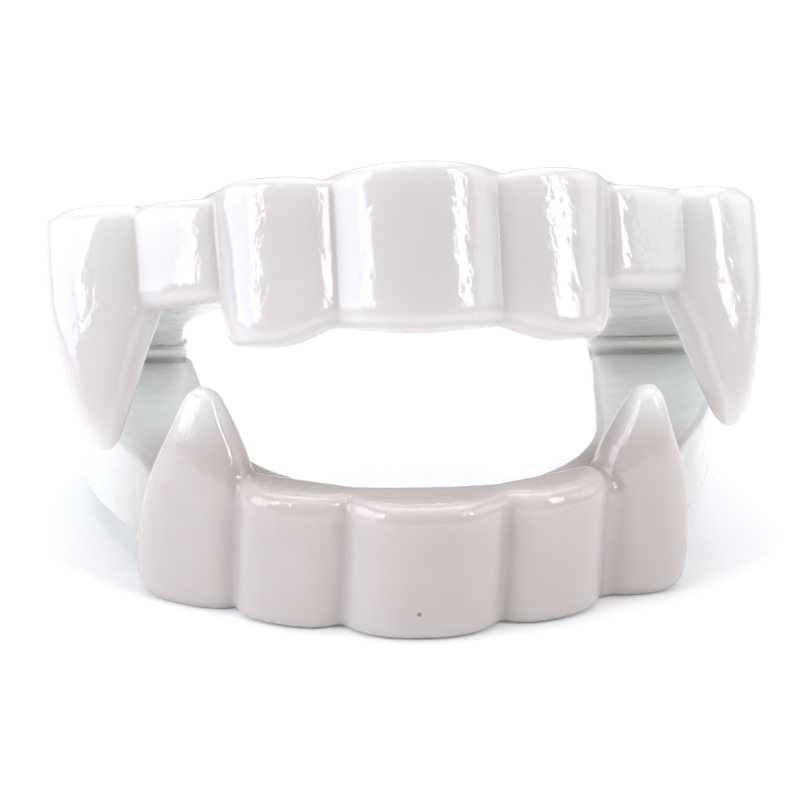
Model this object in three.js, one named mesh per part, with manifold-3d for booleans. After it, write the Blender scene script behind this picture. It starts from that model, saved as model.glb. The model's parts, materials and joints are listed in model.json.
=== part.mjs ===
// A vampire fang denture: two soft PVC arches of joined teeth, moulded in one shot and
// joined at the rear end of each bite leg by a thin living hinge. It stands open on the
// flat bottoms of the lower teeth. Millimetres and degrees, +Z up, the teeth face -Y.

import * as THREE from "three";
import { mergeVertices } from "three/addons/utils/BufferGeometryUtils.js";
import Module from "manifold-3d";

// The opening of the jaws as the soft hinge holds them.
const OPENING_ANGLE = 28;
const RUNNING_GAP = 0.3;

// The living hinge: one bead along the axis at each leg's rear end.
const HINGE_BEAD_RADIUS = 0.9;
const HINGE_BEAD_SIDES = 14;

// Walls shared by both arches.
const TOOTH_WALL = 3.0;
const PLATE_THICKNESS = 2.1;
const FLANGE_WALL = 1.8;
const FLANGE_ROUNDING = 1.5;
const EDGE_ROUNDING = 1.3;
const RIM_ROUNDING = 0.7;
const SLIVER = 0.004; // edges shorter than this are closed up
const GROOVE_OVERLAP = 0.25; // how far neighbouring teeth run into each other
const SCALLOP_POWER = 2.3; // 2 is a parabola across each tooth, more is a fuller front

// The lower arch in plan: three arcs that turn from the front into the straight leg. The
// first runs through the grooves of the row.
const LOWER_FRONT_RADIUS = 27.6;
const LOWER_FRONT_TURN = 58;
const LOWER_SIDE_RADIUS = 45;
const LOWER_SIDE_TURN = 80;
const LOWER_CORNER_RADIUS = 12;
const LOWER_LEG_TURN = 88;
const LOWER_REACH = 39.6; // from the front grooves' line to the hinge axis

// The tongue space inside it: two arcs and the legs' straight inner edges.
const LOWER_TONGUE_SETBACK = 4.0; // from the grooves' line to the front of the tongue space
const LOWER_TONGUE_FRONT_RADIUS = 16.5;
const LOWER_TONGUE_FRONT_TURN = 62;
const LOWER_TONGUE_SIDE_RADIUS = 22;
const LOWER_TONGUE_SIDE_TURN = 84;

// The lower arch in height, from the flat tooth bottoms.
const LOWER_ROW_HEIGHT = 12.1;
const LOWER_PLATE_TOP = 11.2;
const LOWER_FLANGE_HEIGHT = 8.2;
const LOWER_TOOTH_BULGE = 2.9;

// The lower fangs. The face is the turn that a fang's front faces, and the four reaches are
// its half widths and half depths.
const LOWER_FANG_RISE = 6.7; // from the row's top edge to the tip
const LOWER_FANG_FACE = 34;
const LOWER_FANG_OUTER = 4.9;
const LOWER_FANG_INNER = 4.9;
const LOWER_FANG_FRONT = 2.8;
const LOWER_FANG_BACK = 2.9;
const LOWER_FANG_LEAN = 0.4; // of the tip, towards the middle

// The upper arch in plan. Its row runs on along the nearly straight side arc, and it turns
// into the leg at once behind the fangs.
const UPPER_FRONT_RADIUS = 41;
const UPPER_FRONT_TURN = 24.6;
const UPPER_SIDE_RADIUS = 140;
const UPPER_SIDE_TURN = 30.6;
const UPPER_CORNER_RADIUS = 3;
const UPPER_LEG_TURN = 90;
const UPPER_REACH = 36.4;
const UPPER_TONGUE_SETBACK = 3.0;
const UPPER_TONGUE_FRONT_RADIUS = 18.5;
const UPPER_TONGUE_FRONT_TURN = 60;
const UPPER_TONGUE_SIDE_RADIUS = 22;
const UPPER_TONGUE_SIDE_TURN = 88;

// The upper arch in height, from the underside of its bite plate.
const UPPER_ROW_HEIGHT = 9.95;
const UPPER_TOOTH_HANG = 4.8; // the front teeth's bottoms, below the plate
const UPPER_FLANGE_HEIGHT = 4.6;
const UPPER_TOOTH_BULGE = 2.9;

// The upper fangs, on the same terms as the lower ones.
const UPPER_FANG_HANG = 12.4; // the tips, below the plate
const UPPER_FANG_FACE = 18;
const UPPER_FANG_OUTER = 4.4;
const UPPER_FANG_INNER = 3.9;
const UPPER_FANG_FRONT = 3.0;
const UPPER_FANG_BACK = 3.4;
const UPPER_FANG_LEAN = -0.5;

// Half of each row, from the middle: the centre tooth, an incisor, the upper row's small
// tooth, and the fang's root. turn is the share of the row's turn where the tooth ends;
// bulge, top and hang are shares of the arch's bulge, row height and hang, and inLift and
// outLift are the shares of the hang by which the tooth's ends stop short of its bottom.
const LOWER_TEETH = [
  { turn: 0.248, bulge: 1.0, top: 1.0, steps: 10 },
  { turn: 0.603, bulge: 0.7, top: 1.0, steps: 8 },
  { turn: 1.04, bulge: 0.4, top: 0.93, steps: 8 },
];
const UPPER_TEETH = [
  { turn: 0.343, bulge: 1.0, top: 1.0, hang: 0.9, inLift: 0.14, outLift: 0.14, steps: 12 },
  { turn: 0.802, bulge: 0.82, top: 0.95, hang: 1.0, inLift: 0.33, outLift: 0.27, steps: 10 },
  { turn: 0.902, bulge: 0.5, top: 0.86, hang: 0.1, inLift: 0, outLift: 0, steps: 6 },
  { turn: 1.0, bulge: 0.5, top: 0.85, hang: 0.1, inLift: 0, outLift: 0, steps: 6 },
];
const LIFT_POWER = 1.5; // 1 is a straight rise to a tooth's end, more is a rounder one
const LINE_STEPS = 14; // along the front arc of a plate's edge
const LEG_STEPS = 7; // round the rest of it

// Where a fang stands: the share of the row's turn at its middle.
const LOWER_FANG_PLACE = 0.8;
const UPPER_FANG_PLACE = 0.951;

// A fang from its root to its tip: height is the share of the way to the tip, and the rest
// are shares of its four reaches.
const LOWER_FANG_RINGS = [
  { height: 0.0, outer: 0.8, inner: 0.9, front: 0.72, back: 0.9 },
  { height: 0.04, outer: 0.93, inner: 0.97, front: 0.92, back: 1.0 },
  { height: 0.1, outer: 1.0, inner: 1.0, front: 1.0, back: 1.0 },
  { height: 0.4, outer: 0.97, inner: 1.0, front: 1.0, back: 1.0 },
  { height: 0.53, outer: 0.88, inner: 0.97, front: 0.98, back: 1.0 },
  { height: 0.66, outer: 0.71, inner: 0.86, front: 0.92, back: 0.97 },
  { height: 0.785, outer: 0.51, inner: 0.65, front: 0.79, back: 0.85 },
  { height: 0.9, outer: 0.34, inner: 0.43, front: 0.58, back: 0.62 },
  { height: 0.965, outer: 0.24, inner: 0.29, front: 0.42, back: 0.44 },
  { height: 0.99, outer: 0.13, inner: 0.17, front: 0.24, back: 0.26 },
  { height: 1.0, outer: 0.04, inner: 0.04, front: 0.06, back: 0.06 },
];
const UPPER_FANG_RINGS = [
  { height: 0.0, outer: 0.6, inner: 0.9, front: 0.78, back: 0.6 },
  { height: 0.02, outer: 0.86, inner: 1.0, front: 0.94, back: 0.9 },
  { height: 0.06, outer: 1.0, inner: 1.0, front: 1.0, back: 1.0 },
  { height: 0.42, outer: 0.96, inner: 1.1, front: 1.0, back: 1.0 },
  { height: 0.6, outer: 0.82, inner: 0.8, front: 0.92, back: 0.94 },
  { height: 0.78, outer: 0.62, inner: 0.52, front: 0.74, back: 0.78 },
  { height: 0.9, outer: 0.42, inner: 0.33, front: 0.57, back: 0.58 },
  { height: 0.96, outer: 0.27, inner: 0.24, front: 0.4, back: 0.4 },
  { height: 0.99, outer: 0.15, inner: 0.15, front: 0.22, back: 0.22 },
  { height: 1.0, outer: 0.04, inner: 0.04, front: 0.06, back: 0.06 },
];
const FANG_SIDES = 20;
const FANG_SQUARENESS = 2.5; // 2 is an ellipse, more is a squarer section
const FANG_FLARE = 0.3; // how much wider a fang's inner side is at its back

const COLOURS = { pvc: 0xf1eff3, hinge: 0xe4e2e6 };
const PVC_ROUGHNESS = 0.32;

const LOWER = {
  arcs: [
    { radius: LOWER_FRONT_RADIUS, turn: LOWER_FRONT_TURN },
    { radius: LOWER_SIDE_RADIUS, turn: LOWER_SIDE_TURN },
    { radius: LOWER_CORNER_RADIUS, turn: LOWER_LEG_TURN },
  ],
  rowTurn: LOWER_FRONT_TURN,
  reach: LOWER_REACH,
};
const LOWER_TONGUE = {
  arcs: [
    { radius: LOWER_TONGUE_FRONT_RADIUS, turn: LOWER_TONGUE_FRONT_TURN },
    { radius: LOWER_TONGUE_SIDE_RADIUS, turn: LOWER_TONGUE_SIDE_TURN },
  ],
  setback: LOWER_TONGUE_SETBACK,
};
const UPPER = {
  arcs: [
    { radius: UPPER_FRONT_RADIUS, turn: UPPER_FRONT_TURN },
    { radius: UPPER_SIDE_RADIUS, turn: UPPER_SIDE_TURN },
    { radius: UPPER_CORNER_RADIUS, turn: UPPER_LEG_TURN },
  ],
  rowTurn: UPPER_SIDE_TURN,
  reach: UPPER_REACH,
};
const UPPER_TONGUE = {
  arcs: [
    { radius: UPPER_TONGUE_FRONT_RADIUS, turn: UPPER_TONGUE_FRONT_TURN },
    { radius: UPPER_TONGUE_SIDE_RADIUS, turn: UPPER_TONGUE_SIDE_TURN },
  ],
  setback: UPPER_TONGUE_SETBACK,
};
const LOWER_FANG = {
  place: LOWER_FANG_PLACE,
  face: LOWER_FANG_FACE,
  outer: LOWER_FANG_OUTER,
  inner: LOWER_FANG_INNER,
  front: LOWER_FANG_FRONT,
  back: LOWER_FANG_BACK,
  lean: LOWER_FANG_LEAN,
};
const UPPER_FANG = {
  place: UPPER_FANG_PLACE,
  face: UPPER_FANG_FACE,
  outer: UPPER_FANG_OUTER,
  inner: UPPER_FANG_INNER,
  front: UPPER_FANG_FRONT,
  back: UPPER_FANG_BACK,
  lean: UPPER_FANG_LEAN,
};

const wasm = await Module();
wasm.setup();
const radians = THREE.MathUtils.degToRad;

// A point of the right half of a line of arcs, with the way out of the arch there.
function planAt(line, turn) {
  let [x, y, from] = [0, line.setback ?? 0, 0];
  for (const arc of line.arcs) {
    const to = radians(Math.min(turn, arc.turn));
    x += arc.radius * (Math.sin(to) - Math.sin(from));
    y += arc.radius * (Math.cos(from) - Math.cos(to));
    if (turn <= arc.turn) break;
    from = to;
  }
  const now = radians(turn);
  return { x, y, outX: Math.sin(now), outY: -Math.cos(now) };
}

// Stations evenly turned between two places on a line, each with its share of the way.
function turnStations(line, from, to, steps) {
  return Array.from({ length: steps + 1 }, (_, i) => {
    const share = i / steps;
    const turn = from + (to - from) * share;
    const at = planAt(line, Math.abs(turn));
    const side = Math.sign(turn) || 1;
    return { share, x: side * at.x, y: at.y, outX: side * at.outX, outY: at.outY };
  });
}

// Stations of a line's right leg, from a place on it back to its rear end.
function legStations(line, from, rearEnd) {
  const legTurn = line.arcs.at(-1).turn;
  const bend = turnStations(line, from, legTurn, LEG_STEPS);
  const last = bend.at(-1);
  const length = (rearEnd - last.y) / Math.sin(radians(legTurn));
  const end = {
    ...last,
    x: last.x + length * Math.cos(radians(legTurn)),
    y: rearEnd,
  };
  return [...bend, end];
}

// A solid from a geometry's positions, turned outside out if its faces point in.
function solidOf(geometry) {
  geometry.deleteAttribute("normal");
  geometry.deleteAttribute("uv");
  const merged = mergeVertices(geometry);
  const triVerts = new Uint32Array(merged.index.array);
  const vertProperties = new Float32Array(merged.attributes.position.array);
  const solid = new wasm.Manifold(new wasm.Mesh({ numProp: 3, vertProperties, triVerts }));
  if (solid.volume() > 0) return solid;
  for (let i = 0; i < triVerts.length; i += 3) {
    [triVerts[i + 1], triVerts[i + 2]] = [triVerts[i + 2], triVerts[i + 1]];
  }
  return new wasm.Manifold(new wasm.Mesh({ numProp: 3, vertProperties, triVerts }));
}

// A closed solid through rings of equally many points, with flat ends.
function loft(rings, capOutline) {
  const count = rings[0].length;
  const positions = rings.flat(2);
  const indices = [];
  for (let ring = 0; ring + 1 < rings.length; ring += 1) {
    for (let i = 0; i < count; i += 1) {
      const next = (i + 1) % count;
      const [a, b] = [ring * count + i, ring * count + next];
      indices.push(a, b, b + count, a, b + count, a + count);
    }
  }
  const cap = THREE.ShapeUtils.triangulateShape(capOutline, []);
  const last = (rings.length - 1) * count;
  const turned = THREE.ShapeUtils.isClockWise(capOutline);
  for (const [a, b, c] of cap) {
    if (turned) {
      indices.push(a, b, c, last + a, last + c, last + b);
    } else {
      indices.push(a, c, b, last + a, last + b, last + c);
    }
  }
  const geometry = new THREE.BufferGeometry();
  geometry.setAttribute("position", new THREE.Float32BufferAttribute(positions, 3));
  geometry.setIndex(indices);
  return solidOf(geometry);
}

// Sweeps a section along an arch. sectionAt gives points as [out, up].
function sweep(stations, sectionAt) {
  const rings = stations.map((s) =>
    sectionAt(s).map(([out, up]) => [s.x + s.outX * out, s.y + s.outY * out, up]),
  );
  const outline = sectionAt(stations[0]).map(([out, up]) => new THREE.Vector2(out, up));
  return loft(rings, outline);
}

// One solid of all, without the slivers that a union leaves along its seams.
const join = (solids) => solids.reduce((all, one) => all.add(one)).simplify(SLIVER);
const mirrored = (solid) => solid.mirror([1, 0, 0]);
const bothSides = (solid) => [solid, mirrored(solid)];

// How far a tooth's front stands out at a share of its width.
const scallop = (share) => 1 - Math.abs(2 * share - 1) ** SCALLOP_POWER;

// How far a tooth's bottom lies short of its hang at a share of its width.
function lift(tooth, share) {
  const end = 2 * share - 1;
  return (end < 0 ? tooth.inLift : tooth.outLift) * Math.abs(end) ** LIFT_POWER;
}

// A lower tooth: a wall down to the flat bottom with a rounded top edge.
function lowerTooth(tooth, from, to) {
  const top = LOWER_ROW_HEIGHT * tooth.top;
  const stations = turnStations(LOWER, from, to, tooth.steps);
  return sweep(stations, ({ share }) => {
    const front = LOWER_TOOTH_BULGE * tooth.bulge * scallop(share);
    return [
      [-TOOTH_WALL, 0],
      [front - RIM_ROUNDING, 0],
      [front, RIM_ROUNDING],
      [front, top - EDGE_ROUNDING],
      [front - EDGE_ROUNDING / 3, top - EDGE_ROUNDING / 3],
      [front - EDGE_ROUNDING, top],
      [-TOOTH_WALL, top],
    ];
  });
}

// An upper tooth: a gum wall above the plate and a thick biting end below it.
function upperTooth(tooth, from, to) {
  const top = UPPER_ROW_HEIGHT * tooth.top;
  const back = -UPPER_TONGUE_SETBACK;
  const stations = turnStations(UPPER, from, to, tooth.steps);
  return sweep(stations, ({ share }) => {
    const front = UPPER_TOOTH_BULGE * tooth.bulge * scallop(share);
    const bottom = -UPPER_TOOTH_HANG * (tooth.hang - lift(tooth, share));
    return [
      [back + RIM_ROUNDING, bottom],
      [front - EDGE_ROUNDING, bottom],
      [front - EDGE_ROUNDING / 3, bottom + EDGE_ROUNDING / 3],
      [front, bottom + EDGE_ROUNDING],
      [front, top - RIM_ROUNDING],
      [front - RIM_ROUNDING, top],
      [-TOOTH_WALL, top],
      [-TOOTH_WALL, PLATE_THICKNESS],
      [back, PLATE_THICKNESS],
      [back, bottom + RIM_ROUNDING],
    ];
  });
}

// Every tooth of a row from the middle out, each mirrored but the centre one.
function toothRow(jaw, teeth, makeTooth) {
  let inner = 0;
  return teeth.flatMap((tooth) => {
    const outer = tooth.turn * jaw.rowTurn;
    const arc = jaw.arcs.find(({ turn }) => outer <= turn);
    const overlap = THREE.MathUtils.radToDeg(GROOVE_OVERLAP / arc.radius);
    const from = inner;
    inner = outer;
    if (from === 0) return [makeTooth(tooth, -outer - overlap, outer + overlap)];
    return bothSides(makeTooth(tooth, from - overlap, outer + overlap));
  });
}

// The right fang: squarish rings that shrink and lean from its root to its tip.
function fang(jaw, shape, fangRings, rootUp, tipUp) {
  const at = planAt(jaw, shape.place * jaw.rowTurn);
  const face = radians(shape.face);
  const away = new THREE.Vector2(Math.cos(face), Math.sin(face));
  const out = new THREE.Vector2(Math.sin(face), -Math.cos(face));
  const squared = (value) => Math.sign(value) * Math.abs(value) ** (2 / FANG_SQUARENESS);
  const rings = fangRings.map((ring) =>
    Array.from({ length: FANG_SIDES }, (_, i) => {
      const angle = (2 * Math.PI * (i + 0.5)) / FANG_SIDES;
      const [along, across] = [squared(Math.cos(angle)), squared(Math.sin(angle))];
      const depth = across * (across > 0 ? ring.front * shape.front : ring.back * shape.back);
      const flare = 1 + (FANG_FLARE * (1 - across)) / 2;
      const width = along * (along > 0 ? ring.outer * shape.outer : ring.inner * shape.inner * flare);
      return [
        at.x - shape.lean * ring.height + away.x * width + out.x * depth,
        at.y + away.y * width + out.y * depth,
        rootUp + (tipUp - rootUp) * ring.height,
      ];
    }),
  );
  return loft(rings, rings[0].map(([x, y]) => new THREE.Vector2(x, y)));
}

// The right half of a line, from the middle of its front back to its leg's rear end.
function halfLine(line, inset, rearEnd) {
  const [front] = line.arcs;
  return [
    ...turnStations(line, 0, front.turn, LINE_STEPS),
    ...legStations(line, front.turn, rearEnd).slice(1),
  ].map((s) => new THREE.Vector2(s.x - s.outX * inset, Math.min(s.y - s.outY * inset, rearEnd)));
}

// The horseshoe bite plate: the arch's plan less the tongue space.
function bitePlate(jaw, tongue, rearEnd, underside) {
  const outer = halfLine(jaw, FLANGE_ROUNDING, rearEnd);
  const inner = halfLine(tongue, 0, rearEnd);
  const left = (half) => half.slice(1).map((p) => new THREE.Vector2(-p.x, p.y));
  const outline = new THREE.Shape([
    ...outer,
    ...inner.toReversed(),
    ...left(inner),
    ...left(outer).reverse(),
  ]);
  const geometry = new THREE.ExtrudeGeometry(outline, {
    depth: PLATE_THICKNESS,
    bevelEnabled: false,
  });
  geometry.translate(0, 0, underside);
  return solidOf(geometry);
}

// The low outer wall of a leg, from inside its fang back, with its bite-side edge rounded.
function legFlange(jaw, shape, rearEnd, biteSide, farSide) {
  const towards = Math.sign(biteSide - farSide);
  const shoulder = biteSide - towards * FLANGE_ROUNDING;
  const eased = biteSide - (towards * FLANGE_ROUNDING) / 3;
  const section = [
    [-FLANGE_WALL, farSide],
    [0, farSide],
    [0, shoulder],
    [-FLANGE_ROUNDING / 3, eased],
    [-FLANGE_ROUNDING, biteSide],
    [-FLANGE_WALL, biteSide],
  ];
  return sweep(legStations(jaw, shape.place * jaw.rowTurn, rearEnd), () => section);
}

// The end of a leg, short of the hinge bead by the running gap.
const legEnd = (jaw) => jaw.reach - HINGE_BEAD_RADIUS - RUNNING_GAP;

function lowerArch() {
  const rear = legEnd(LOWER);
  const teeth = toothRow(LOWER, LOWER_TEETH, lowerTooth);
  const tip = LOWER_ROW_HEIGHT + LOWER_FANG_RISE;
  const fangs = bothSides(fang(LOWER, LOWER_FANG, LOWER_FANG_RINGS, 0, tip));
  const low = LOWER_PLATE_TOP - LOWER_FLANGE_HEIGHT;
  const flange = legFlange(LOWER, LOWER_FANG, rear, LOWER_PLATE_TOP, low);
  const plate = bitePlate(LOWER, LOWER_TONGUE, rear, LOWER_PLATE_TOP - PLATE_THICKNESS);
  return join([...teeth, ...fangs, ...bothSides(flange), plate]);
}

function upperArch() {
  const rear = legEnd(UPPER);
  const teeth = toothRow(UPPER, UPPER_TEETH, upperTooth);
  const root = UPPER_ROW_HEIGHT * UPPER_TEETH.at(-1).top;
  const fangs = bothSides(fang(UPPER, UPPER_FANG, UPPER_FANG_RINGS, root, -UPPER_FANG_HANG));
  const flange = legFlange(UPPER, UPPER_FANG, rear, 0, UPPER_FLANGE_HEIGHT);
  const plate = bitePlate(UPPER, UPPER_TONGUE, rear, 0);
  return join([...teeth, ...fangs, ...bothSides(flange), plate]);
}

// The bead of soft PVC that joins the rear ends of one pair of legs.
function hingeWeb() {
  const [outer, inner] = [LOWER, LOWER_TONGUE].map((line) => halfLine(line, 0, legEnd(LOWER)).at(-1).x);
  const length = outer - inner;
  const bead = new THREE.CylinderGeometry(
    HINGE_BEAD_RADIUS,
    HINGE_BEAD_RADIUS,
    length,
    HINGE_BEAD_SIDES,
  );
  bead.rotateZ(Math.PI / 2);
  bead.translate(inner + length / 2, 0, 0);
  return solidOf(bead);
}

// A named mesh of a solid, coloured and glossy as the moulded plastic.
function meshOf(name, solid, colour) {
  const { vertProperties, triVerts } = solid.getMesh();
  const geometry = new THREE.BufferGeometry();
  geometry.setAttribute("position", new THREE.BufferAttribute(vertProperties, 3));
  geometry.setIndex(new THREE.BufferAttribute(triVerts, 1));
  geometry.computeVertexNormals();
  const material = new THREE.MeshStandardMaterial({
    color: colour,
    roughness: PVC_ROUGHNESS,
    metalness: 0,
    flatShading: true,
  });
  const mesh = new THREE.Mesh(geometry, material);
  mesh.name = name;
  return mesh;
}

// The arches meet on the hinge axis, which lies half a gap above the lower plate.
function makeDenture() {
  const hingeLift = LOWER_PLATE_TOP + RUNNING_GAP;
  const denture = new THREE.Group();
  denture.add(meshOf("lower_arch", lowerArch(), COLOURS.pvc));

  const upperSwing = new THREE.Group();
  upperSwing.position.set(0, LOWER_REACH, hingeLift);
  upperSwing.rotation.x = -radians(OPENING_ANGLE);
  const upper = meshOf("upper_arch", upperArch(), COLOURS.pvc);
  upper.position.set(0, -UPPER_REACH, RUNNING_GAP);
  upperSwing.add(upper);
  denture.add(upperSwing);

  const web = hingeWeb();
  const webs = { hinge_web_right: web, hinge_web_left: mirrored(web) };
  for (const [name, solid] of Object.entries(webs)) {
    const mesh = meshOf(name, solid, COLOURS.hinge);
    mesh.position.set(0, LOWER_REACH, hingeLift);
    denture.add(mesh);
  }
  return denture;
}

// The origin is the middle of the bottom of the whole denture's box.
const denture = makeDenture();
const box = new THREE.Box3().setFromObject(denture, true);
const centre = box.getCenter(new THREE.Vector3());
denture.position.set(-centre.x, -centre.y, -box.min.z);

const part = new THREE.Group();
part.add(denture);
export default part;
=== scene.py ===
"""The looks of a vampire fang denture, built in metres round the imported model.

Two arches of soft white PVC, each moulded in one piece, are joined at the rear of their
bite legs by a thin fold. The denture's sizes are millimetres and become metres where a
mesh point is made. The studio's sizes are metres. All turns are degrees.
"""

from __future__ import annotations

import json
import logging
import math
from dataclasses import dataclass, field, replace
from enum import Enum
from typing import Iterable, Sequence

import bmesh
import bpy
from mathutils import Matrix, Vector


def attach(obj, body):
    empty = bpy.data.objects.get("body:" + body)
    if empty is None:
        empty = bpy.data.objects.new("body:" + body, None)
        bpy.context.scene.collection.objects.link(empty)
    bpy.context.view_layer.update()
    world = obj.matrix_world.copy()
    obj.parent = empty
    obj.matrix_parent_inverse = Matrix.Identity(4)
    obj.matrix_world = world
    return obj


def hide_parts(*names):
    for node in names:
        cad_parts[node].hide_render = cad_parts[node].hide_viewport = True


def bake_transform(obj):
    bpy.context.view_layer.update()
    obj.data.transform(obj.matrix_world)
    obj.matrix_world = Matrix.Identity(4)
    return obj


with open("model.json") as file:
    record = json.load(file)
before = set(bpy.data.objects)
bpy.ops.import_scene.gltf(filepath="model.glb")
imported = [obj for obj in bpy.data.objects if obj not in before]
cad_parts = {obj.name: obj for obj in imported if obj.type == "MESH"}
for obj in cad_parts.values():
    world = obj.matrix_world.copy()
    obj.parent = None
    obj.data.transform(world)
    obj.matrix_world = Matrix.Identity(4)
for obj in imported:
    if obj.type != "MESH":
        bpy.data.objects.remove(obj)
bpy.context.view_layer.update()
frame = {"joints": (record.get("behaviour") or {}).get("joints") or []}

LOG = logging.getLogger("denture")
MM = 0.001
PLACE_LAYER = "place"  # which point of its ring a vertex is
OPENING = 28.0  # how far the fold holds the upper arch turned up from the lower one

Point = tuple[float, float]
Ring = list[Vector]


class Side(Enum):
    """A half of the denture, as the sign of its X."""

    LEFT = -1
    RIGHT = 1


class Slot(Enum):
    """The record's material slots."""

    ARCH = "soft_pvc"
    FOLD = "hinge_pvc"


class Body(Enum):
    """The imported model's moving bodies."""

    LOWER = "lower"
    UPPER = "upper"


def deselect_all() -> None:
    """Leaves object mode with nothing selected, as a new primitive needs."""
    if bpy.context.object and bpy.context.object.mode != "OBJECT":
        bpy.ops.object.mode_set(mode="OBJECT")
    bpy.ops.object.select_all(action="DESELECT")


def choose(pieces: Sequence[bpy.types.Object]) -> None:
    """Selects these pieces alone, the first as the active one.

    Args:
        pieces: The objects that the next operator acts on.
    """
    deselect_all()
    for piece in pieces:
        piece.select_set(True)
    bpy.context.view_layer.objects.active = pieces[0]


def skin_through(name: str, rings: Sequence[Ring]) -> bpy.types.Object:
    """Extrudes a filled circle from ring to ring into one closed skin.

    Args:
        name: The new object's name.
        rings: Equally long rings of points in metres, from one end to the other.

    Returns:
        The closed skin, its faces pointing out.
    """
    deselect_all()
    bpy.ops.mesh.primitive_circle_add(
        vertices=len(rings[0]), radius=MM, fill_type="NGON", enter_editmode=True
    )
    piece = bpy.context.object
    piece.name = name
    shape = bmesh.from_edit_mesh(piece.data)
    place = shape.verts.layers.int.new(PLACE_LAYER)
    for index, (vertex, point) in enumerate(zip(shape.verts, rings[0])):
        vertex[place] = index
        vertex.co = point
    for ring in rings[1:]:
        bmesh.update_edit_mesh(piece.data)
        bpy.ops.mesh.extrude_region_move()
        shape = bmesh.from_edit_mesh(piece.data)
        place = shape.verts.layers.int[PLACE_LAYER]
        for vertex in shape.verts:
            if vertex.select:
                vertex.co = ring[vertex[place]]
    bmesh.update_edit_mesh(piece.data)
    bpy.ops.mesh.select_all(action="SELECT")
    bpy.ops.mesh.normals_make_consistent(inside=False)
    bpy.ops.object.mode_set(mode="OBJECT")
    return piece


@dataclass(frozen=True)
class Corner:
    """A corner of a section, out from the arch's line and up, with its rounding."""

    out: float
    up: float
    rounding: float


def rounded(corners: Sequence[Corner], steps: int = 5) -> list[Point]:
    """Rounds a section's corners, each by a short curve of equally many points.

    Args:
        corners: The section's corners in order.
        steps: How many pieces each rounding has.

    Returns:
        The section's points as (out, up).
    """
    points: list[Point] = []
    for index, corner in enumerate(corners):
        here = Vector((corner.out, corner.up))
        before, after = corners[index - 1], corners[(index + 1) % len(corners)]
        legs = [Vector((c.out, c.up)) - here for c in (before, after)]
        ends = [here + leg.normalized() * min(corner.rounding, leg.length / 2) for leg in legs]
        for step in range(steps + 1):
            share = step / steps
            first = ends[0].lerp(here, share)
            second = here.lerp(ends[1], share)
            points.append(tuple(first.lerp(second, share)))
    return points


def between(low: float, high: float, share: float) -> float:
    """The value at a share of the way from low to high."""
    return low + (high - low) * share


def resampled(points: Sequence[Point], count: int) -> list[Point]:
    """Spreads points evenly by length over a line through the given ones.

    Args:
        points: The line's points.
        count: How many points to return, ends included.

    Returns:
        The evenly spread points.
    """
    lengths = [0.0]
    for a, b in zip(points, points[1:]):
        lengths.append(lengths[-1] + math.dist(a, b))
    result: list[Point] = []
    span = 0
    for index in range(count):
        goal = lengths[-1] * index / (count - 1)
        while span < len(points) - 2 and lengths[span + 1] < goal:
            span += 1
        share = (goal - lengths[span]) / (lengths[span + 1] - lengths[span])
        a, b = points[span], points[span + 1]
        result.append((between(a[0], b[0], share), between(a[1], b[1], share)))
    return result


@dataclass(frozen=True)
class Arc:
    """An arc of an arch's plan, up to the turn where it ends."""

    radius: float
    turn: float


@dataclass(frozen=True)
class Station:
    """A place on an arch's plan, with the way out of the arch there."""

    x: float
    y: float
    out_x: float
    out_y: float

    def point(self, out: float, up: float) -> Vector:
        """The point that lies so far out and up from this place, in metres."""
        x, y = self.x + self.out_x * out, self.y + self.out_y * out
        return Vector((x, y, up)) * MM


@dataclass(frozen=True)
class Plan:
    """A line of arcs from the middle of an arch's front round into its straight legs."""

    arcs: tuple[Arc, ...]
    setback: float = 0.0

    def at(self, turn: float, side: Side = Side.RIGHT) -> Station:
        """The place where the plan has turned so far.

        Args:
            turn: Degrees from the middle. Below zero it is on the other side.
            side: The half of the arch that the turn is counted on.

        Returns:
            The station there.
        """
        x, y, start = 0.0, self.setback, 0.0
        for arc in self.arcs:
            end = math.radians(min(abs(turn), arc.turn))
            x += arc.radius * (math.sin(end) - math.sin(start))
            y += arc.radius * (math.cos(start) - math.cos(end))
            if abs(turn) <= arc.turn:
                break
            start = end
        now = math.radians(abs(turn))
        sign = side.value * (1 if turn >= 0 else -1)
        return Station(sign * x, y, sign * math.sin(now), -math.cos(now))

    def leg(self, start: float, rear: float, side: Side, steps: int = 16) -> list[Station]:
        """Stations from a turn round the corner and straight back along a leg.

        Args:
            start: The turn in degrees where the stations begin.
            rear: How far back the leg ends.
            side: The leg's side.
            steps: How many steps the bend has, and how many the straight has.

        Returns:
            The stations.
        """
        last = self.arcs[-1].turn
        bend = [self.at(between(start, last, i / steps), side) for i in range(steps + 1)]
        end = bend[-1]
        slope = side.value / math.tan(math.radians(last))
        straight = []
        for step in range(1, steps + 1):
            run = (rear - end.y) * step / steps
            straight.append(Station(end.x + run * slope, end.y + run, end.out_x, end.out_y))
        return bend + straight

    def half(self, rear: float, inset: float = 0.0, steps: int = 24) -> list[Point]:
        """The right half of the line, drawn in towards the middle.

        Args:
            rear: How far back it ends.
            inset: How far it is drawn in.
            steps: How many steps the front arc has.

        Returns:
            Its points as (x, y).
        """
        front = self.arcs[0].turn
        stations = [self.at(front * i / steps) for i in range(steps)]
        stations += self.leg(front, rear, Side.RIGHT)
        return [(s.x - s.out_x * inset, s.y - s.out_y * inset) for s in stations]


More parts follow.
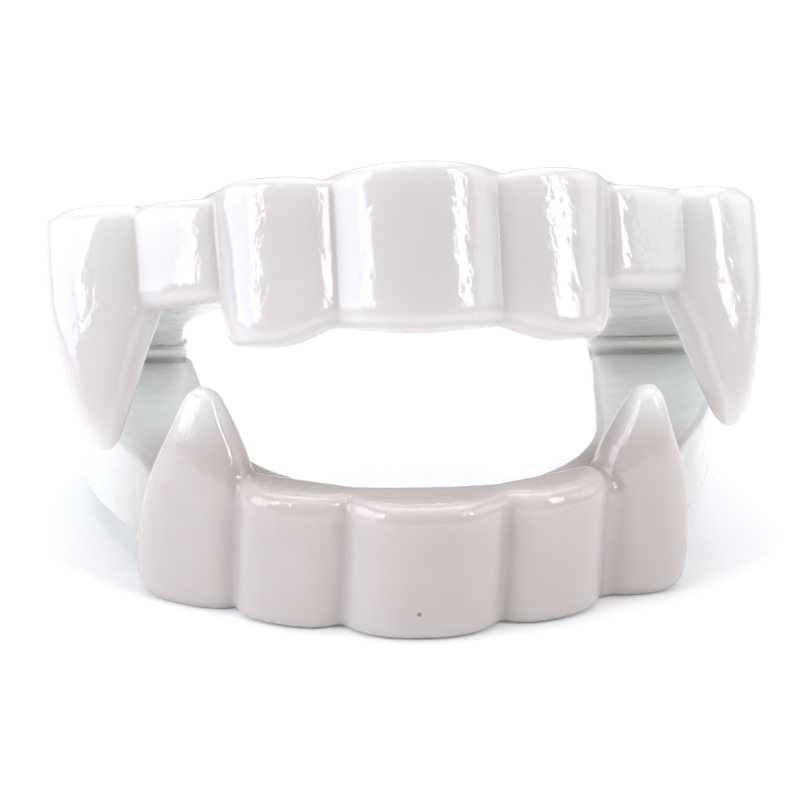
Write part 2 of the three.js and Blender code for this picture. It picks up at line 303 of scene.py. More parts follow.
@dataclass(frozen=True)
class Tooth:
    """A tooth of a row: where it ends on the plan, and its sizes.

    The top edge drops by the crown towards both ends, and the bottom stops short of its
    full length by a lift at the end nearer the middle and by one at the far end. The
    front falls back to the groove at the far end, and by a share of that at the near
    one. The taper narrows the far side towards the bottom.
    """

    name: str
    turn: float
    bulge: float
    top: float
    bottom: float
    crown: float = 0.0
    near_lift: float = 0.0
    far_lift: float = 0.0
    near_fall: float = 1.0
    taper: float = 0.0
    lift_power: float = 1.5

    def front(self, share: float, fullness: float) -> float:
        """How far the front stands out at a share of the tooth's width."""
        fall = self.near_fall if share < 0.5 else 1.0
        return self.bulge * (1 - fall * abs(2 * share - 1) ** fullness)

    def slip(self, share: float, up: float) -> float:
        """How far the taper draws a point back towards the tooth's near end."""
        return self.taper * share**2 * up / self.bottom if self.taper and up < 0 else 0.0

    def height(self, share: float) -> float:
        """The top edge's height at a share of the tooth's width."""
        return self.top - self.crown * (2 * share - 1) ** 2

    def base(self, share: float) -> float:
        """The bottom's height at a share of the tooth's width."""
        end = 2 * share - 1
        lift = self.near_lift if end < 0 else self.far_lift
        return self.bottom + lift * abs(end) ** self.lift_power


@dataclass(frozen=True)
class FangRow:
    """A cross-section of a fang: at is the share of the way to its tip, the rest are
    shares of the fang's sizes."""

    at: float
    outer: float
    inner: float
    front: float
    back: float


def row_at(rows: Sequence[FangRow], at: float) -> FangRow:
    """The cross-section at a share of the way, on smooth curves through the rows.

    Args:
        rows: The fang's rows from its root to its tip.
        at: The share of the way.

    Returns:
        The row there.
    """
    index = max(0, min(len(rows) - 2, sum(row.at <= at for row in rows) - 1))
    a, b = rows[index], rows[index + 1]
    before, after = rows[max(0, index - 1)], rows[min(len(rows) - 1, index + 2)]
    share = (at - a.at) / (b.at - a.at)

    def through(name: str) -> float:
        """One column's value, by a cubic with the slopes of its neighbours."""
        span = b.at - a.at
        start, end = getattr(a, name), getattr(b, name)
        rise = span * (end - getattr(before, name)) / max(b.at - before.at, span)
        fall = span * (getattr(after, name) - start) / max(after.at - a.at, span)
        cubic = share * share * (3 - 2 * share)
        ease_in = share * (1 - share) ** 2
        ease_out = share * share * (share - 1)
        return between(start, end, cubic) + rise * ease_in + fall * ease_out

    return FangRow(at, through("outer"), through("inner"), through("front"), through("back"))


@dataclass(frozen=True)
class Fang:
    """A fang from its root to its tip, on a station of its arch.

    The face is the turn that its front looks out on. The lean draws its tip towards the
    middle and the rake draws it back. The flare widens its inner side towards the back.
    """

    turn: float
    face: float
    outer: float
    inner: float
    front: float
    back: float
    root: float
    tip: float
    lean: float
    rake: float
    flare: float
    rows: tuple[FangRow, ...]
    squareness: float = 2.5

    def rings(self, plan: Plan, side: Side, steps: int = 34, points: int = 40) -> list[Ring]:
        """The fang's cross-sections.

        Args:
            plan: The arch's plan.
            side: The fang's side of the arch.
            steps: How many steps lead from the root to the tip.
            points: How many points a cross-section has.

        Returns:
            The rings from the root to the tip.
        """
        base = plan.at(self.turn, side)
        facing = math.radians(self.face) * side.value
        away = Vector((math.cos(facing), math.sin(facing))) * side.value
        out = Vector((math.sin(facing), -math.cos(facing)))
        rings = []
        for step in range(steps + 1):
            at = math.sin(math.pi / 2 * step / steps)
            row = row_at(self.rows, at)
            middle = Vector((base.x - side.value * self.lean * at, base.y + self.rake * at))
            ring = []
            for index in range(points):
                angle = 2 * math.pi * index / points
                along, across = self.outline(angle)
                depth = across * (row.front * self.front if across > 0 else row.back * self.back)
                width = along * (row.outer * self.outer if along > 0 else row.inner * self.inner)
                if along < 0:
                    width *= 1 + self.flare * (1 - across) / 2
                here = middle + away * width + out * depth
                ring.append(Vector((here.x, here.y, between(self.root, self.tip, at))) * MM)
            rings.append(ring)
        return rings

    def outline(self, angle: float) -> Point:
        """A point of the squarish round that every cross-section follows."""
        power = 2 / self.squareness
        along, across = math.cos(angle), math.sin(angle)
        return (
            math.copysign(abs(along) ** power, along),
            math.copysign(abs(across) ** power, across),
        )


@dataclass
class Arch:
    """One moulded arch: a row of joined teeth, two fangs, a bite plate and leg walls.

    The reach is how far the middle of its plan's front lies before the hinge axis.
    """

    name: str
    body: Body
    node: str
    plan: Plan
    tongue: Plan
    reach: float
    centre: Tooth
    rows: dict[Side, tuple[Tooth, ...]]
    fangs: dict[Side, Fang]
    wall: float = 3.0
    plate_low: float = 0.0
    plate_high: float = 2.1
    plate_inset: float = 0.8
    plate_rounding: float = 0.8
    leg_end_gap: float = 0.5
    leg_wall: float = 1.9
    leg_low: float = 0.0
    leg_high: float = 4.6
    leg_low_rounding: float = 0.8
    leg_high_rounding: float = 0.8
    fullness: float = 2.9
    overlap: float = 0.35
    voxel: float = 0.3
    smoothing: int = 8
    smoothing_factor: float = 0.5
    tooth_steps: int = 26
    plate_steps: int = 120
    parts: list[bpy.types.Object] = field(default_factory=list)

    def tooth_section(self, tooth: Tooth, share: float) -> list[Point]:
        """The section of a tooth at a share of its width, for each arch to shape."""
        raise NotImplementedError

    @property
    def rear(self) -> float:
        """How far back the legs end."""
        return self.reach - self.leg_end_gap

    def tooth(self, tooth: Tooth, start: float, end: float, side: Side) -> None:
        """Models one tooth across its stretch of the plan.

        Args:
            tooth: The tooth.
            start: The turn in degrees where it starts.
            end: The turn where it ends.
            side: The half of the arch that the turns are counted on.
        """
        rings = []
        for step in range(self.tooth_steps + 1):
            share = step / self.tooth_steps
            turn = between(start, end, share)
            ring = []
            for out, up in self.tooth_section(tooth, share):
                slip = math.degrees(tooth.slip(share, up) / self.plan.arcs[0].radius)
                ring.append(self.plan.at(turn - slip, side).point(out, up))
            rings.append(ring)
        self.parts.append(skin_through(f"{tooth.name}_{side.name.lower()}", rings))

    def row(self) -> None:
        """Models the row from its centre tooth out to both sides."""
        extra = math.degrees(self.overlap / self.plan.arcs[0].radius)
        self.tooth(self.centre, -self.centre.turn - extra, self.centre.turn + extra, Side.RIGHT)
        for side in Side:
            start = self.centre.turn
            for tooth in self.rows[side]:
                self.tooth(tooth, start - extra, tooth.turn + extra, side)
                start = tooth.turn
            rings = self.fangs[side].rings(self.plan, side)
            self.parts.append(skin_through(f"fang_{side.name.lower()}", rings))

    def leg_walls(self) -> None:
        """Models the low outer wall of each leg."""
        section = rounded(
            [
                Corner(-self.leg_wall, self.leg_low, self.leg_low_rounding),
                Corner(0, self.leg_low, self.leg_low_rounding),
                Corner(0, self.leg_high, self.leg_high_rounding),
                Corner(-self.leg_wall, self.leg_high, self.leg_high_rounding),
            ]
        )
        for side in Side:
            stations = self.plan.leg(self.fangs[side].turn, self.rear, side)
            rings = [[s.point(out, up) for out, up in section] for s in stations]
            self.parts.append(skin_through(f"leg_wall_{side.name.lower()}", rings))

    def plate_lines(self) -> tuple[list[Point], list[Point]]:
        """The plate's outer line and the tongue space's line, from leg end to leg end."""
        lines = []
        for line, inset in ((self.plan, self.plate_inset), (self.tongue, 0.0)):
            half = resampled(line.half(self.rear, inset), self.plate_steps // 2 + 1)
            lines.append([(-x, y) for x, y in reversed(half[1:])] + half)
        return lines[0], lines[1]

    def plate(self) -> None:
        """Models the flat horseshoe plate that the wearer bites on."""
        rings = []
        for outer, inner in zip(*self.plate_lines()):
            width = math.dist(outer, inner)
            section = rounded(
                [
                    Corner(0, self.plate_low, self.plate_rounding),
                    Corner(width, self.plate_low, self.plate_rounding),
                    Corner(width, self.plate_high, self.plate_rounding),
                    Corner(0, self.plate_high, self.plate_rounding),
                ]
            )
            ring = []
            for out, up in section:
                share = out / width
                x, y = (between(i, o, share) for i, o in zip(inner, outer))
                ring.append(Vector((x, y, up)) * MM)
            rings.append(ring)
        self.parts.append(skin_through("plate", rings))

    def placed(self) -> Matrix:
        """The matrix that takes the arch from its own plan to its place in the frame."""
        raise NotImplementedError

    def flex(self, point: Vector) -> Vector:
        """Where a point of the moulding has settled, for each arch to say."""
        raise NotImplementedError

    def fuse(self) -> bpy.types.Object:
        """Joins the parts and melts them into one moulding with soft inner corners.

        Returns:
            The moulding.
        """
        choose(self.parts)
        bpy.ops.object.join()
        moulding = bpy.context.object
        moulding.name = moulding.data.name = self.name
        moulding.data.attributes.remove(moulding.data.attributes[PLACE_LAYER])
        melt = moulding.modifiers.new("melt", "REMESH")
        melt.mode = "VOXEL"
        melt.voxel_size = self.voxel * MM
        melt.use_smooth_shade = True
        bpy.ops.object.modifier_apply(modifier=melt.name)
        soften = moulding.modifiers.new("soften", "SMOOTH")
        soften.factor = self.smoothing_factor
        soften.iterations = self.smoothing
        bpy.ops.object.modifier_apply(modifier=soften.name)
        for vertex in moulding.data.vertices:
            vertex.co = self.flex(vertex.co)
        moulding.matrix_world = self.placed()
        bpy.ops.object.transform_apply(location=True, rotation=True, scale=True)
        bpy.ops.object.shade_smooth()
        return moulding

    def build(self) -> bpy.types.Object:
        """Models the arch and reports it to the frame.

        Returns:
            The finished moulding.
        """
        self.row()
        self.leg_walls()
        self.plate()
        moulding = self.fuse()
        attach(moulding, self.body.value)
        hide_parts(self.node)
        return moulding


@dataclass
class LowerArch(Arch):
    """The lower arch, which stands on the flat bottoms of its teeth."""

    tooth_top_rounding: float = 1.9
    tooth_bottom_rounding: float = 1.1
    sway: float = 0.035

    def tooth_section(self, tooth: Tooth, share: float) -> list[Point]:
        """A wall down to the flat bottom, its back edges rounded half as far as its front.

        Args:
            tooth: The tooth.
            share: The share of its width.

        Returns:
            The section's points.
        """
        front, top = tooth.front(share, self.fullness), tooth.height(share)
        return rounded(
            [
                Corner(-self.wall, tooth.base(share), self.tooth_bottom_rounding / 2),
                Corner(front, tooth.base(share), self.tooth_bottom_rounding),
                Corner(front, top, self.tooth_top_rounding),
                Corner(-self.wall, top, self.tooth_top_rounding / 2),
            ]
        )

    def flex(self, point: Vector) -> Vector:
        """The soft teeth lean over to one side, more towards their tips."""
        return Vector((point.x + self.sway * point.z, point.y, point.z))

    def placed(self) -> Matrix:
        """The arch's grooves lie a reach in front of the hinge axis."""
        return Matrix.Translation((0, hinge_point().y - self.reach * MM, 0))


@dataclass
class UpperArch(Arch):
    """The upper arch, held open by the fold at the rear of its legs."""

    opening: float = OPENING
    hinge_gap: float = 0.3
    twist: float = 1.2
    drift: float = 0.1
    tooth_top_rounding: float = 1.0
    tooth_bottom_rounding: float = 1.6

    def tooth_section(self, tooth: Tooth, share: float) -> list[Point]:
        """A gum wall above the plate and a thick biting end below it.

        Args:
            tooth: The tooth.
            share: The share of its width.

        Returns:
            The section's points.
        """
        front, top = tooth.front(share, self.fullness), tooth.height(share)
        back, bottom = -self.tongue.setback, tooth.base(share)
        return rounded(
            [
                Corner(back, bottom, self.tooth_bottom_rounding),
                Corner(front, bottom, self.tooth_bottom_rounding),
                Corner(front, top, self.tooth_top_rounding),
                Corner(-self.wall, top, self.tooth_top_rounding),
                Corner(-self.wall, self.plate_high, self.tooth_top_rounding),
                Corner(back, self.plate_high, self.tooth_top_rounding),
            ]
        )

    def flex(self, point: Vector) -> Vector:
        """The soft arch is twisted a little, more towards its front teeth."""
        share = 1 - point.y / (self.reach * MM)
        angle = math.radians(self.twist) * share
        shift = self.drift * MM * share
        return Vector(
            (point.x - point.z * angle + shift, point.y, point.z + point.x * angle)
        )

    def placed(self) -> Matrix:
        """The arch turns up about the hinge axis from lying on the lower one."""
        flat = Matrix.Translation((0, -self.reach * MM, self.hinge_gap * MM))
        swing = Matrix.Rotation(-math.radians(self.opening), 4, "X")
        return Matrix.Translation(hinge_point()) @ swing @ flat


def hinge_point() -> Vector:
    """The middle of the hinge axis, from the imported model's joint."""
    return Vector(frame["joints"][0]["pos_m"])


LOWER_FANG_ROWS = (
    FangRow(at=0.0, outer=0.7, inner=0.9, front=0.8, back=0.9),
    FangRow(at=0.04, outer=0.88, inner=0.97, front=0.95, back=1.0),
    FangRow(at=0.1, outer=0.98, inner=1.0, front=1.0, back=1.0),
    FangRow(at=0.4, outer=0.97, inner=1.0, front=1.0, back=1.0),
    FangRow(at=0.53, outer=0.88, inner=0.97, front=0.98, back=1.0),
    FangRow(at=0.66, outer=0.71, inner=0.86, front=0.92, back=0.97),
    FangRow(at=0.785, outer=0.51, inner=0.65, front=0.79, back=0.85),
    FangRow(at=0.9, outer=0.34, inner=0.43, front=0.58, back=0.62),
    FangRow(at=0.965, outer=0.24, inner=0.29, front=0.42, back=0.44),
    FangRow(at=0.99, outer=0.13, inner=0.17, front=0.24, back=0.26),
    FangRow(at=1.0, outer=0.04, inner=0.04, front=0.06, back=0.06),
)
UPPER_FANG_ROWS = (
    FangRow(at=0.0, outer=0.6, inner=0.9, front=0.78, back=0.6),
    FangRow(at=0.02, outer=0.86, inner=1.0, front=0.94, back=0.9),
    FangRow(at=0.06, outer=1.0, inner=1.0, front=1.0, back=1.0),
    FangRow(at=0.42, outer=0.96, inner=1.1, front=1.0, back=1.0),
    FangRow(at=0.6, outer=0.82, inner=0.8, front=0.92, back=0.94),
    FangRow(at=0.78, outer=0.62, inner=0.52, front=0.74, back=0.78),
    FangRow(at=0.9, outer=0.42, inner=0.33, front=0.57, back=0.58),
    FangRow(at=0.96, outer=0.27, inner=0.24, front=0.4, back=0.4),
    FangRow(at=0.99, outer=0.15, inner=0.15, front=0.22, back=0.22),
    FangRow(at=1.0, outer=0.04, inner=0.04, front=0.06, back=0.06),
)


def lower_arch() -> LowerArch:
    """The lower arch with its sizes."""
    fang = Fang(
        turn=46.4, face=34, outer=4.9, inner=4.8, front=2.8, back=2.9, root=0.0, tip=18.7,
        lean=0.2, rake=0.4, flare=0.15, rows=LOWER_FANG_ROWS,
    )
    row = (
        Tooth("lower_incisor", turn=35.0, bulge=2.0, top=12.2, bottom=0, crown=0.2),
        Tooth("lower_fang_root", turn=60, bulge=1.0, top=11.2, bottom=0),
    )
    return LowerArch(
        name="lower_arch_moulding",
        body=Body.LOWER,
        node="lower_arch",
        plan=Plan((Arc(27.6, 58), Arc(45, 80), Arc(12, 88))),
        tongue=Plan((Arc(16.5, 62), Arc(22, 84)), setback=4.0),
        reach=39.6,
        centre=Tooth("lower_centre", turn=14.4, bulge=2.9, top=12.2, bottom=0, crown=0.2),
        rows={Side.LEFT: row, Side.RIGHT: row},
        fangs={
            Side.LEFT: replace(fang, inner=5.4, lean=0.8, tip=19.2),
            Side.RIGHT: replace(fang, face=12, outer=4.1, inner=4.7, front=3.3),
        },
        plate_low=9.1,
        plate_high=11.2,
        leg_low=3.0,
        leg_high=11.2,
        leg_low_rounding=0.9,
        leg_high_rounding=1.7,
    )


def upper_arch() -> UpperArch:
    """The upper arch with its sizes."""
    fang = Fang(
        turn=29.1, face=18, outer=4.4, inner=3.9, front=3.0, back=3.4, root=8.7, tip=-12.4,
        lean=-0.5, rake=0.3, flare=0.3, rows=UPPER_FANG_ROWS,
    )
    incisor = Tooth(
        "upper_incisor", turn=24.5, bulge=2.4, top=9.6, bottom=-4.8, crown=0.5, near_lift=1.6,
        far_lift=0.4, near_fall=0.5, taper=1.3,
    )
    small = Tooth(
        "upper_small", turn=27.6, bulge=1.5, top=8.6, bottom=-0.5, crown=0.2, near_fall=0.5
    )
    root = Tooth("upper_fang_root", turn=30.6, bulge=1.5, top=8.5, bottom=-0.5)
    return UpperArch(
        name="upper_arch_moulding",
        body=Body.UPPER,
        node="upper_arch",
        plan=Plan((Arc(41, 24.6), Arc(140, 30.6), Arc(3, 90))),
        tongue=Plan((Arc(18.5, 60), Arc(22, 88)), setback=3.0),
        reach=36.4,
        centre=Tooth(
            "upper_centre", turn=10.5, bulge=2.9, top=10.1, bottom=-4.3, crown=0.7,
            near_lift=0.9, far_lift=0.5,
        ),
        rows={
            Side.LEFT: (incisor, small, root),
            Side.RIGHT: (replace(incisor, bottom=-5.1, near_lift=1.3), small, root),
        },
        fangs={
            Side.LEFT: replace(fang, outer=5.0, lean=-0.2),
            Side.RIGHT: replace(fang, outer=4.0, lean=-0.8, tip=-12.3),
        },
    )


@dataclass
class HingeFold:
    """The thin fold of PVC that joins one pair of legs at the rear.

    It bends round the hinge axis, with a stub along each leg, and reaches from near to
    far out from the middle. Its ends are rounded, but drawn in by no more than a share
    of its wall.
    """

    side: Side
    opening: float = OPENING
    inner_radius: float = 0.2
    outer_radius: float = 1.1
    stub: float = 2.4
    near: float = 19.2
    far: float = 29.6
    end_rounding: float = 0.5
    end_limit: float = 1 / 3
    end_steps: int = 5
    steps: int = 14
    smooth_angle: float = 40.0

    def section(self, shrink: float) -> list[Point]:
        """The fold's outline as (y, z) round the hinge axis, drawn in all round.

        Args:
            shrink: How far the outline is drawn in at this place.

        Returns:
            The outline's points.
        """
        inner, outer = self.inner_radius + shrink, self.outer_radius - shrink
        first, last = -math.pi / 2, math.pi / 2 - math.radians(self.opening)
        reach = self.stub - shrink
        lower_stub = (-reach, 0.0)
        forward = math.pi - math.radians(self.opening)
        upper_stub = (reach * math.cos(forward), reach * math.sin(forward))
        points: list[Point] = []
        for radius, order in ((outer, range(self.steps + 1)), (inner, range(self.steps, -1, -1))):
            arc = []
            for step in order:
                angle = between(first, last, step / self.steps)
                arc.append((radius * math.cos(angle), radius * math.sin(angle)))
            start, end = (lower_stub, upper_stub) if radius == outer else (upper_stub, lower_stub)
            points.append((arc[0][0] + start[0], arc[0][1] + start[1]))
            points.extend(arc)
            points.append((arc[-1][0] + end[0], arc[-1][1] + end[1]))
        return points

    def places(self) -> list[Point]:
        """How far out each cross-section lies, and how far it is drawn in.

        Returns:
            The pairs from the near end to the far end.
        """
        limit = (self.outer_radius - self.inner_radius) * self.end_limit
        ends = []
        for step in range(self.end_steps + 1):
            angle = math.pi / 2 * step / self.end_steps
            shrink = min(self.end_rounding * (1 - math.sin(angle)), limit)
            ends.append((self.end_rounding * (1 - math.cos(angle)), shrink))
        near_end = [(self.near + run, shrink) for run, shrink in ends]
        far_end = [(self.far - run, shrink) for run, shrink in reversed(ends)]
        return near_end + far_end

    def build(self) -> bpy.types.Object:
        """Models the fold and hides the imported web that it stands in for.

        Returns:
            The finished fold.
        """
        centre = hinge_point()
        rings = [
            [centre + Vector((self.side.value * x, y, z)) * MM for y, z in self.section(shrink)]
            for x, shrink in self.places()
        ]
        fold = skin_through(f"hinge_fold_{self.side.name.lower()}", rings)
        bpy.ops.object.shade_smooth_by_angle(angle=math.radians(self.smooth_angle))
        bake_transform(fold)
        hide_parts(f"hinge_web_{self.side.name.lower()}")
        return fold


def linear(hex_colour: str) -> tuple[float, float, float, float]:
    """Turns an sRGB hex colour to the linear one that a shader takes, by the sRGB curve.

    Args:
        hex_colour: Six hex digits.

    Returns:
        Red, green, blue and an alpha of 1.
    """
    channels = [int(hex_colour[i : i + 2], 16) / 255 for i in (0, 2, 4)]
    return (*(c / 12.92 if c <= 0.04045 else ((c + 0.055) / 1.055) ** 2.4 for c in channels), 1.0)


def add_node(
    tree: bpy.types.NodeTree, kind: str, inputs: dict[str | int, object], **settings: object
) -> bpy.types.Node:
    """Adds a node with its settings and links.

    Args:
        tree: The material's node tree.
        kind: The node's type name.
        inputs: Values or sockets by input name or number.
        settings: The node's own properties.

    Returns:
        The node.
    """
    node = tree.nodes.new(kind)
    for name, value in settings.items():
        setattr(node, name, value)
    for name, value in inputs.items():
        if isinstance(value, bpy.types.NodeSocket):
            tree.links.new(value, node.inputs[name])
        else:
            node.inputs[name].default_value = value
    return node


@dataclass(frozen=True)
class Relief:
    """A layer of unevenness in a moulded surface.

    Its grain is drawn out along the way that the piece left the mould.
    """

    grain_mm: float
    height_mm: float
    stretch: float = 1.0
    detail: float = 1.0


@dataclass(frozen=True)
class Fleck:
    """A dark grain of dirt in the skin of the moulding, darkest out to its core."""

    place_mm: tuple[float, float, float]
    radius_mm: float = 0.26
    core_mm: float = 0.13
    colour: str = "8F8784"


@dataclass(frozen=True)
class MouldedSoftPvc:
    """Injection-moulded plasticised PVC: milky, glossy, with faint waves of the mould.

    Light goes a few millimetres into it, so shade stays soft. The teeth in front are
    thick and painted a little greyer and warmer, and the legs behind them are painted
    whiter, and so are the fangs' tips where the two heights of that change are given:
    painted shade on the teeth and a painted glow on the legs and tips, in one PVC.
    The waves break up the edges of the reflections.
    """

    name: str
    body: str = "E1DDDC"
    cloud: str = "D9D4D3"
    # painted glow: the whiter tone painted on the legs and the fangs' tips, standing in for light
    # that shows through them
    painted_glow: str = "E4E6E4"
    # where along Y the painted glow begins and where it is full, then the heights of the fangs' tips
    # that get it
    glow_start_y_mm: float = -8.0
    glow_full_y_mm: float = 3.0
    glow_tips_z_mm: tuple[float, float] | None = None
    flecks: tuple[Fleck, ...] = ()
    draw_tilt: float = 0.0
    ior: float = 1.53
    specular: float = 0.7
    roughness: float = 0.11
    scatter_mm: float = 4.0
    scatter_shares: tuple[float, float, float] = (1.0, 0.9, 0.8)
    cloud_mm: float = 9.0
    cloud_detail: float = 2.0
    reliefs: tuple[Relief, ...] = (
        # Where thick teeth shrank as they cooled.
        Relief(grain_mm=5.0, height_mm=0.22, stretch=1.6),
        # The waves that the mould's polishing left.
        Relief(grain_mm=1.1, height_mm=0.06, stretch=2.2, detail=2.0),
        # The mould's fine grain, drawn coarser than it is so that it shows.
        Relief(grain_mm=0.4, height_mm=0.018),
    )

    def surface(self, tree: bpy.types.NodeTree, place: bpy.types.NodeSocket) -> bpy.types.Node:
        """Stacks the layers of unevenness, the coarse one first.

        Args:
            tree: The material's node tree.
            place: The object coordinates.

        Returns:
            The last bump node.
        """
        bump = None
        for relief in self.reliefs:
            grain = add_node(
                tree, "ShaderNodeMapping",
                {
                    "Vector": place,
                    "Rotation": (math.radians(self.draw_tilt), 0.0, 0.0),
                    "Scale": (1.0, 1.0, 1 / relief.stretch),
                },
            )
            noise = add_node(
                tree, "ShaderNodeTexNoise",
                {
                    "Vector": grain.outputs["Vector"],
                    "Scale": 1 / (relief.grain_mm * MM),
                    "Detail": relief.detail,
                },
            )
            inputs = {"Height": noise.outputs["Fac"], "Distance": relief.height_mm * MM}
            if bump:
                inputs["Normal"] = bump.outputs["Normal"]
            bump = add_node(tree, "ShaderNodeBump", inputs)
        return bump

    def painted_glow_share(self, tree: bpy.types.NodeTree, place: bpy.types.NodeSocket) -> bpy.types.NodeSocket:
        """How much painted glow each place gets, from 0 in the teeth to 1 in the legs and the tips.

        Args:
            tree: The material's node tree.
            place: The object coordinates.

        Returns:
            The socket that gives it.
        """
        axes = add_node(tree, "ShaderNodeSeparateXYZ", {"Vector": place}).outputs
        ranges = [(axes["Y"], self.glow_start_y_mm, self.glow_full_y_mm)]
        if self.glow_tips_z_mm:
            ranges.append((axes["Z"], *self.glow_tips_z_mm))
        first, *others = [
            add_node(
                tree, "ShaderNodeMapRange",
                {"Value": value, "From Min": start * MM, "From Max": end * MM},
                interpolation_type="SMOOTHSTEP",
            ).outputs["Result"]
            for value, start, end in ranges
        ]
        for share in others:
            first = add_node(
                tree, "ShaderNodeMath", {0: first, 1: share}, operation="MAXIMUM"
            ).outputs["Value"]
        return first

    def colour(self, tree: bpy.types.NodeTree, place: bpy.types.NodeSocket) -> bpy.types.Node:
        """Mixes the cloudy tone of the teeth, the painted glow of the legs and tips, and the flecks.

        Args:
            tree: The material's node tree.
            place: The object coordinates.

        Returns:
            The last mixing node.
        """
        cloud = add_node(
            tree, "ShaderNodeTexNoise",
            {"Vector": place, "Scale": 1 / (self.cloud_mm * MM), "Detail": self.cloud_detail},
        )
        teeth = add_node(
            tree, "ShaderNodeMixRGB",
            {
                "Fac": cloud.outputs["Fac"],
                "Color1": linear(self.body),
                "Color2": linear(self.cloud),
            },
        )
        # Painted glow: the legs and the fangs' tips are painted whiter than the teeth, in place of
        # light showing through them.
        colour = add_node(
            tree, "ShaderNodeMixRGB",
            {
                "Fac": self.painted_glow_share(tree, place),
                "Color1": teeth.outputs["Color"],
                "Color2": linear(self.painted_glow),
            },
        )
        for fleck in self.flecks:
            away = add_node(
                tree, "ShaderNodeVectorMath", {0: place, 1: Vector(fleck.place_mm) * MM},
                operation="DISTANCE",
            )
            cover = add_node(
                tree, "ShaderNodeMapRange",
                {
                    "Value": away.outputs["Value"],
                    "From Min": fleck.radius_mm * MM,
                    "From Max": fleck.core_mm * MM,
                },
            )
            colour = add_node(
                tree, "ShaderNodeMixRGB",
                {
                    "Fac": cover.outputs["Result"],
                    "Color1": colour.outputs["Color"],
                    "Color2": linear(fleck.colour),
                },
            )
        return colour

    def make(self) -> bpy.types.Material:
        """The material with its nodes.

        Returns:
            The material.
        """
        material = bpy.data.materials.new(self.name)
        material.use_nodes = True
        tree = material.node_tree
        tree.nodes.clear()
        place = add_node(tree, "ShaderNodeTexCoord", {}).outputs["Object"]
        shader = add_node(
            tree, "ShaderNodeBsdfPrincipled",
            {
                "Base Color": self.colour(tree, place).outputs["Color"],
                "Roughness": self.roughness,
                "IOR": self.ior,
                "Specular IOR Level": self.specular,
                "Subsurface Weight": 1.0,
                "Subsurface Radius": self.scatter_shares,
                "Subsurface Scale": self.scatter_mm * MM,
                "Normal": self.surface(tree, place).outputs["Normal"],
            },
        )
        add_node(tree, "ShaderNodeOutputMaterial", {"Surface": shader.outputs["BSDF"]})
        return material


def towards(azimuth: float, elevation: float) -> Vector:
    """The way from the denture to a viewer or a light.

    Args:
        azimuth: Its turn round the denture, 0 in front and 90 out along X.
        elevation: Its height above the horizon.

    Returns:
        The direction, of length 1.
    """
    az, el = math.radians(azimuth), math.radians(elevation)
    return Vector((math.sin(az) * math.cos(el), -math.cos(az) * math.cos(el), math.sin(el)))


@dataclass(frozen=True)
class Softbox:
    """A rectangle of soft light that faces the denture from a direction."""

    name: str
    azimuth: float
    elevation: float
    distance: float
    width: float
    height: float
    power: float
    colour: str = "FFFFFF"

    def hang(self, aim: Vector) -> None:
        """Hangs the light.

        Args:
            aim: The point that it faces.
        """
        back = towards(self.azimuth, self.elevation)
        data = bpy.data.lights.new(self.name, "AREA")
        data.shape = "RECTANGLE"
        data.size, data.size_y = self.width, self.height
        data.energy = self.power
        data.color = linear(self.colour)[:3]
        lamp = bpy.data.objects.new(self.name, data)
        lamp.location = aim + back * self.distance
        lamp.rotation_euler = back.to_track_quat("Z", "Y").to_euler()
        bpy.context.scene.collection.objects.link(lamp)


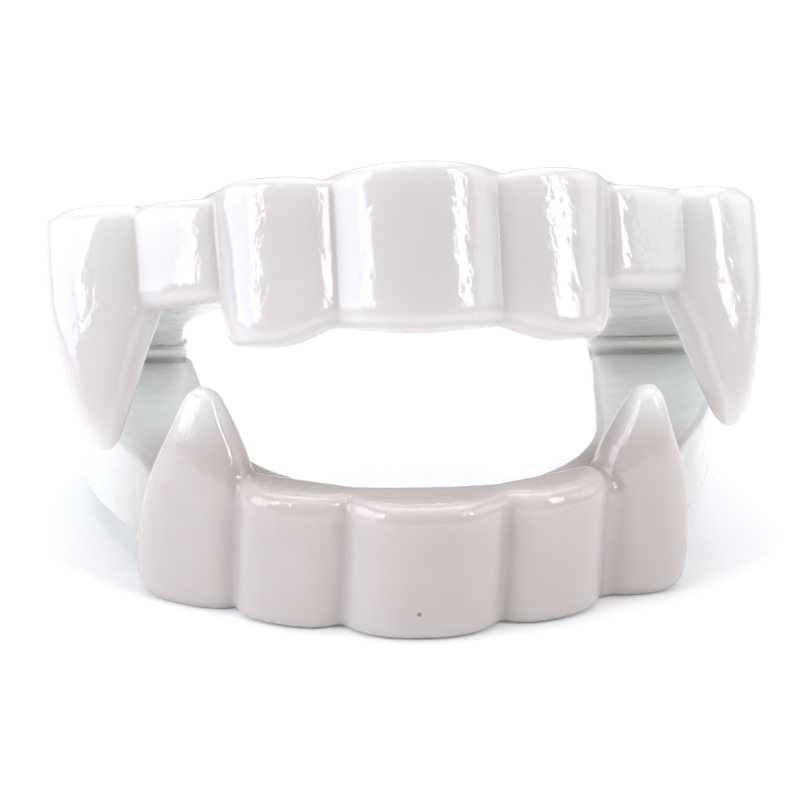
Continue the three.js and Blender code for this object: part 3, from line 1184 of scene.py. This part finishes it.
@dataclass(frozen=True)
class Studio:
    """The pale floor, the soft lights and the camera at the photograph's angle.

    The focal length is a share of the picture's width.
    """

    azimuth: float = -4.7
    elevation: float = 20.5
    roll: float = 0.5
    distance: float = 0.300
    focal: float = 3367 / 800
    sensor_mm: float = 36.0
    nearest: float = 0.01
    aim_mm: tuple[float, float, float] = (-0.66, -1.87, 14.58)
    floor_size: float = 6.0
    floor_colour: str = "FEFEFE"
    floor_roughness: float = 0.9
    floor_glow: float = 0.06
    sky_colour: str = "FCFCFF"
    sky_strength: float = 0.12
    lights: tuple[Softbox, ...] = (
        Softbox("left_strip", -50, 35, 0.6, 0.10, 0.32, 0.52, "FAFBFF"),
        Softbox("right_strip", 46, 35, 0.6, 0.12, 0.32, 0.80, "FAFBFF"),
        Softbox("left_side_softbox", -78, 24, 0.6, 0.42, 0.42, 1.9, "EBF1FF"),
        Softbox("right_side_softbox", 86, 30, 0.6, 0.42, 0.42, 1.0, "EBF1FF"),
        Softbox("top_softbox", 0, 80, 0.7, 0.6, 0.6, 1.3),
        Softbox("back_softbox", 180, 68, 1.2, 1.4, 1.0, 9.0),
    )

    def floor(self) -> None:
        """Lays the plain floor."""
        deselect_all()
        bpy.ops.mesh.primitive_plane_add(size=self.floor_size)
        floor = bpy.context.object
        floor.name = "floor"
        material = bpy.data.materials.new("pale_floor")
        material.use_nodes = True
        shader = material.node_tree.nodes["Principled BSDF"]
        shader.inputs["Base Color"].default_value = linear(self.floor_colour)
        shader.inputs["Roughness"].default_value = self.floor_roughness
        shader.inputs["Emission Color"].default_value = linear(self.floor_colour)
        shader.inputs["Emission Strength"].default_value = self.floor_glow
        floor.data.materials.append(material)

    def light(self) -> None:
        """Hangs the softboxes and sets the plain sky."""
        aim = Vector(self.aim_mm) * MM
        for box in self.lights:
            box.hang(aim)
        world = bpy.data.worlds.new("plain_sky")
        world.use_nodes = True
        background = world.node_tree.nodes["Background"]
        background.inputs["Color"].default_value = linear(self.sky_colour)
        background.inputs["Strength"].default_value = self.sky_strength
        bpy.context.scene.world = world
        bpy.context.scene.view_settings.view_transform = "Standard"

    def camera(self) -> None:
        """Places the camera where the photograph was taken from."""
        azimuth, roll = math.radians(self.azimuth), math.radians(self.roll)
        back = towards(self.azimuth, self.elevation)
        right = Vector((math.cos(azimuth), math.sin(azimuth), 0))
        up = back.cross(right)
        turned_right = math.cos(roll) * right + math.sin(roll) * up
        turned_up = -math.sin(roll) * right + math.cos(roll) * up
        data = bpy.data.cameras.new("photo_camera")
        data.sensor_width = self.sensor_mm
        data.lens = self.focal * self.sensor_mm
        data.clip_start = self.nearest
        camera = bpy.data.objects.new("photo_camera", data)
        axes = Matrix((turned_right, turned_up, back)).transposed().to_4x4()
        place = Vector(self.aim_mm) * MM + back * self.distance
        camera.matrix_world = Matrix.Translation(place) @ axes
        bpy.context.scene.collection.objects.link(camera)
        bpy.context.scene.camera = camera

    def set_up(self) -> None:
        """Makes the floor, the lights and the camera."""
        self.floor()
        self.light()
        self.camera()


def dress(pieces: Iterable[bpy.types.Object], material: bpy.types.Material) -> None:
    """Gives pieces a material.

    Args:
        pieces: The pieces.
        material: Their finish.
    """
    for piece in pieces:
        piece.data.materials.clear()
        piece.data.materials.append(material)


def main() -> None:
    """Builds the studio, then each piece in order."""
    logging.basicConfig(level=logging.INFO, format="%(name)s: %(message)s")
    Studio().set_up()
    arches = [lower_arch().build(), upper_arch().build()]
    folds = [HingeFold(side).build() for side in Side]
    lower, upper = arches
    # Painted shade: the lower arch is the same PVC as the upper one, painted a darker, warmer body
    # and cloud tone; its fangs' tips get the painted glow.
    shaded_lower_finish = MouldedSoftPvc(
        "moulded_soft_pvc_lower", body="D6CECA", cloud="C8BFBA", glow_tips_z_mm=(13.5, 20.0),
        flecks=(Fleck(place_mm=(-0.5, -21.85, 2.6)),),
    )
    dress([lower], shaded_lower_finish.make())
    dress([upper], MouldedSoftPvc("moulded_soft_pvc_upper", draw_tilt=OPENING).make())
    dress(folds, MouldedSoftPvc("folded_soft_pvc").make())
    for piece in arches + folds:
        LOG.info("%s has %d faces", piece.name, len(piece.data.polygons))


if __name__ == "__main__":
    main()
